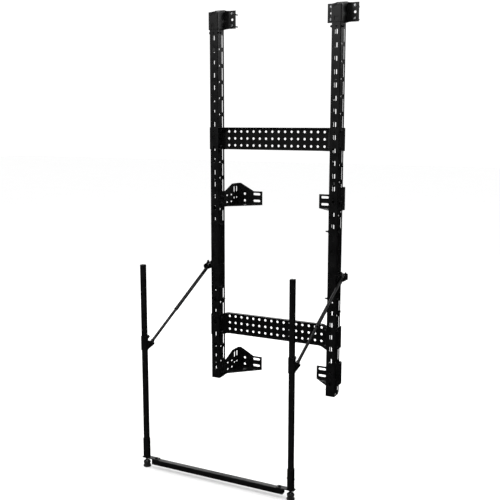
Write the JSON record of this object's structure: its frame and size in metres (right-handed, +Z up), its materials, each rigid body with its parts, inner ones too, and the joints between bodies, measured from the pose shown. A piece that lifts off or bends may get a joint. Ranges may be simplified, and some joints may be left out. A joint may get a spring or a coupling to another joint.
{
  "type": "wall-braced perforated rack frame",
  "caption": "Tall black rack frame: slotted channel uprights joined by perforated panels, braced to the wall, with a strutted sliding front stand.",
  "frame": {"origin": "on the wall face, in the middle of the four slots of the two upper wall arms", "axes": "+X to the right seen from the front, +Y towards the wall, +Z up"},
  "size_m": [0.9294, 0.955, 2.507],
  "materials": {
    "upright_paint": "satin black powder coat",
    "splice_paint": "satin black powder coat",
    "panel_paint": "satin black powder coat",
    "bracket_paint": "satin black powder coat",
    "arm_paint": "satin black powder coat",
    "strut_bracket_paint": "satin black powder coat",
    "strut_tube_paint": "satin black",
    "strut_rod_paint": "satin black",
    "strut_end_paint": "satin black",
    "collar_paint": "satin black",
    "knob_plastic": "moulded, matt",
    "leg_paint": "satin black powder coat",
    "shoe_paint": "satin black powder coat",
    "bar_paint": "satin black powder coat",
    "cap_plastic": "moulded, matt",
    "foot_rubber": "moulded, matt",
    "zinc": "bright zinc plate",
    "bolt_black": "black oxide"
  },
  "bodies": {
    "frame": {"arm_bolts": "bolt_black", "arm_nuts": "bolt_black", "cross_panel_lower": "panel_paint", "cross_panel_upper": "panel_paint", "panel_bolts": "bolt_black", "panel_nuts": "bolt_black", "splice_bolts": "bolt_black", "splice_left": "splice_paint", "splice_nuts": "bolt_black", "splice_right": "splice_paint", "strut_bracket_left": "strut_bracket_paint", "strut_bracket_nuts": "bolt_black", "strut_bracket_right": "strut_bracket_paint", "strut_bracket_screws": "bolt_black", "strut_pivot_bolt_left": "bolt_black", "strut_pivot_bolt_right": "bolt_black", "top_bracket_bolts": "bolt_black", "top_bracket_left": "bracket_paint", "top_bracket_nuts": "bolt_black", "top_bracket_right": "bracket_paint", "upright_left_lower": "upright_paint", "upright_left_upper": "upright_paint", "upright_right_lower": "upright_paint", "upright_right_upper": "upright_paint", "wall_arm_lower_left": "arm_paint", "wall_arm_lower_right": "arm_paint", "wall_arm_upper_left": "arm_paint", "wall_arm_upper_right": "arm_paint", "wall_bolts": "zinc"},
    "left_strut_tube": {"strut_tube_left": "strut_tube_paint", "strut_head_left": "strut_end_paint"},
    "left_strut_rod": {"strut_rod_left": "strut_rod_paint", "strut_eye_left": "strut_end_paint"},
    "left_collar": {"collar_left": "collar_paint", "collar_pivot_bolt_left": "bolt_black"},
    "left_clamp_knob": {"clamp_knob_left": "knob_plastic"},
    "left_foot": {"foot_stud_left": "zinc", "foot_pad_left": "foot_rubber"},
    "right_strut_tube": {"strut_tube_right": "strut_tube_paint", "strut_head_right": "strut_end_paint"},
    "right_strut_rod": {"strut_rod_right": "strut_rod_paint", "strut_eye_right": "strut_end_paint"},
    "right_collar": {"collar_right": "collar_paint", "collar_pivot_bolt_right": "bolt_black"},
    "right_clamp_knob": {"clamp_knob_right": "knob_plastic"},
    "right_foot": {"foot_stud_right": "zinc", "foot_pad_right": "foot_rubber"},
    "stand": {"leg_left": "leg_paint", "leg_right": "leg_paint", "base_shoe_left": "shoe_paint", "base_shoe_right": "shoe_paint", "base_bar": "bar_paint", "bar_end_cap_left": "cap_plastic", "bar_end_cap_right": "cap_plastic", "bar_bolts": "bolt_black", "leg_bolts": "bolt_black", "foot_lock_nuts": "zinc"}
  },
  "joints": [
    {"name": "left_strut_swing", "type": "hinge", "parent": "frame", "child": "left_strut_tube", "pos_m": [-0.431, -0.2275, -0.3945], "axis": [1, 0, 0], "range_deg": [-15, 60]},
    {"name": "left_strut_slide", "type": "slide", "parent": "left_strut_tube", "child": "left_strut_rod", "axis": [0, -0.8906, -0.4549], "range_m": [-0.235, 0.1]},
    {"name": "left_collar_swivel", "type": "hinge", "parent": "left_strut_rod", "child": "left_collar", "pos_m": [-0.431, -0.8775, -0.7265], "axis": [-1, 0, 0], "range_deg": [-15, 60]},
    {"name": "left_clamp_turn", "type": "hinge", "parent": "left_collar", "child": "left_clamp_knob", "pos_m": [-0.431, -0.919, -0.684], "axis": [0, 1, 0], "range_deg": [0, 720]},
    {"name": "right_strut_swing", "type": "hinge", "parent": "frame", "child": "right_strut_tube", "pos_m": [0.431, -0.2275, -0.3945], "axis": [1, 0, 0], "range_deg": [-15, 60]},
    {"name": "right_strut_slide", "type": "slide", "parent": "right_strut_tube", "child": "right_strut_rod", "axis": [0, -0.8906, -0.4549], "range_m": [-0.235, 0.1]},
    {"name": "right_collar_swivel", "type": "hinge", "parent": "right_strut_rod", "child": "right_collar", "pos_m": [0.431, -0.8775, -0.7265], "axis": [-1, 0, 0], "range_deg": [-15, 60]},
    {"name": "right_clamp_turn", "type": "hinge", "parent": "right_collar", "child": "right_clamp_knob", "pos_m": [0.431, -0.919, -0.684], "axis": [0, 1, 0], "range_deg": [0, 720]},
    {"name": "stand_slide", "type": "slide", "parent": "left_collar", "child": "stand", "axis": [0, 0, 1], "range_m": [-0.36, 0.48]},
    {"name": "left_foot_screw", "type": "slide", "parent": "stand", "child": "left_foot", "axis": [0, 0, 1], "range_m": [-0.012, 0.014]},
    {"name": "right_foot_screw", "type": "slide", "parent": "stand", "child": "right_foot", "axis": [0, 0, 1], "range_m": [-0.012, 0.014]}
  ],
  "couplings": [
    {"joint": "right_strut_swing", "follows": "left_strut_swing", "ratio": 1},
    {"joint": "right_strut_slide", "follows": "left_strut_slide", "ratio": 1},
    {"joint": "right_collar_swivel", "follows": "left_collar_swivel", "ratio": 1}
  ]
}
